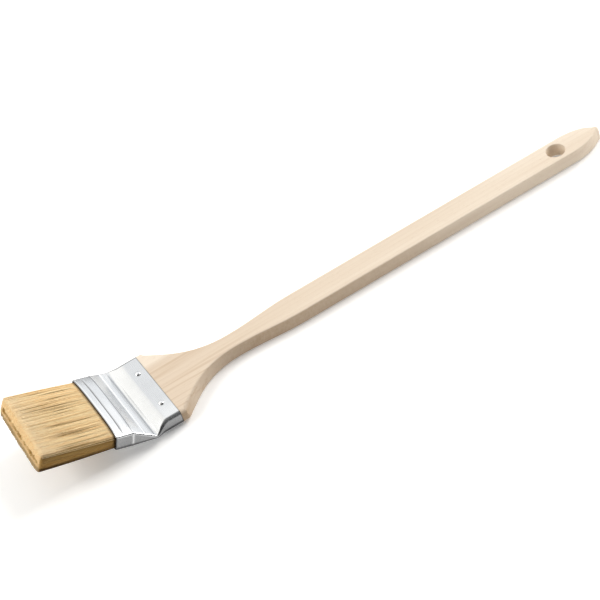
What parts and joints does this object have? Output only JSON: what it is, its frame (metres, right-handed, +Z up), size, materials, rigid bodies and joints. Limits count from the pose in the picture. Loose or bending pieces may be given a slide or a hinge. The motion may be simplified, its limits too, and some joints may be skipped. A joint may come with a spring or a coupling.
{
  "type": "pastry brush",
  "caption": "Flat angled pastry brush: natural bristle in a bent sheet-metal ferrule on a long flat wooden handle with a hanging hole, for spreading glaze, egg wash or oil.",
  "frame": {"origin": "on the surface that the brush lies on, under the middle of its length and width", "axes": "+X along the handle towards the hanging hole, +Y across the brush, +Z up from the surface it lies on"},
  "size_m": [0.4035, 0.068, 0.035],
  "materials": {
    "handle_wood": "bare, sanded smooth",
    "ferrule_sheet": "bright tin plate",
    "nail_steel": "bright",
    "bristle": "natural blond bristle",
    "strip_wood": "bare",
    "resin": "cast"
  },
  "bodies": {
    "root": {"handle": "handle_wood", "ferrule": "ferrule_sheet", "upper_nails": "nail_steel", "lower_nails": "nail_steel", "upper_bristles": "bristle", "lower_bristles": "bristle", "spacer_strip": "strip_wood", "setting_resin": "resin"}
  },
  "joints": []
}
